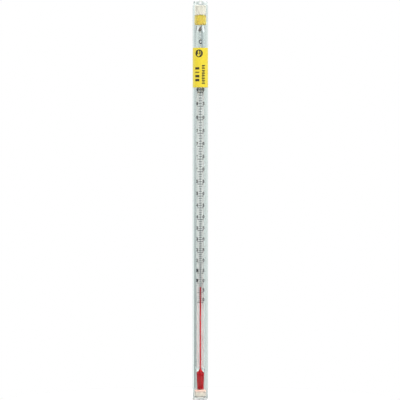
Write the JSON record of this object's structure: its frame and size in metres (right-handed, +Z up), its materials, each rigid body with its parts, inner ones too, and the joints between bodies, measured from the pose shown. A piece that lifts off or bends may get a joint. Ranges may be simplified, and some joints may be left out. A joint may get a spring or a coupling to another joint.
{
  "type": "glass rod thermometer in hanging case",
  "caption": "Red-spirit glass rod thermometer standing on foam in a clear plastic tube with a plug cap and a small hanging hole.",
  "frame": {"origin": "centre of the hanging hole in the cap", "axes": "+Z up along the case, bulb at the bottom; the hanging hole runs along Y; the scale faces -Y"},
  "size_m": [0.0124, 0.0123, 0.317],
  "materials": {
    "clear_plastic": "clear, polished",
    "cream_foam": "soft open foam",
    "yellow_film": "satin coated sticker",
    "stem_glass": "fire polished",
    "white_enamel": "opaque fused enamel",
    "dark_enamel": "fired ink",
    "red_spirit": "dyed liquid",
    "yellow_plastic": "translucent moulded"
  },
  "bodies": {
    "case": {"case_tube": "clear_plastic", "bottom_plug": "clear_plastic", "bottom_pad": "cream_foam", "label": "yellow_film"},
    "thermometer": {"stem": "stem_glass", "bulb": "stem_glass", "backing_strip": "white_enamel", "scale_marks": "dark_enamel", "spirit_reservoir": "red_spirit", "spirit_column": "red_spirit"},
    "spirit_top": {"spirit_meniscus": "red_spirit"},
    "ring": {"anti_roll_ring": "yellow_plastic"},
    "cap": {"hang_cap": "clear_plastic", "top_pad": "cream_foam"}
  },
  "joints": [
    {"name": "thermometer_draw", "type": "slide", "parent": "case", "child": "thermometer", "axis": [0, 0, 1], "range_m": [0, 0.32]},
    {"name": "column_rise", "type": "slide", "parent": "thermometer", "child": "spirit_top", "axis": [0, 0, 1], "range_m": [-0.0121, 0.1772], "deforming": ["spirit_column"]},
    {"name": "ring_pull", "type": "slide", "parent": "thermometer", "child": "ring", "axis": [0, 0, 1], "range_m": [0, 0.02]},
    {"name": "cap_pull", "type": "slide", "parent": "ring", "child": "cap", "axis": [0, 0, 1], "range_m": [0, 0.03]}
  ]
}
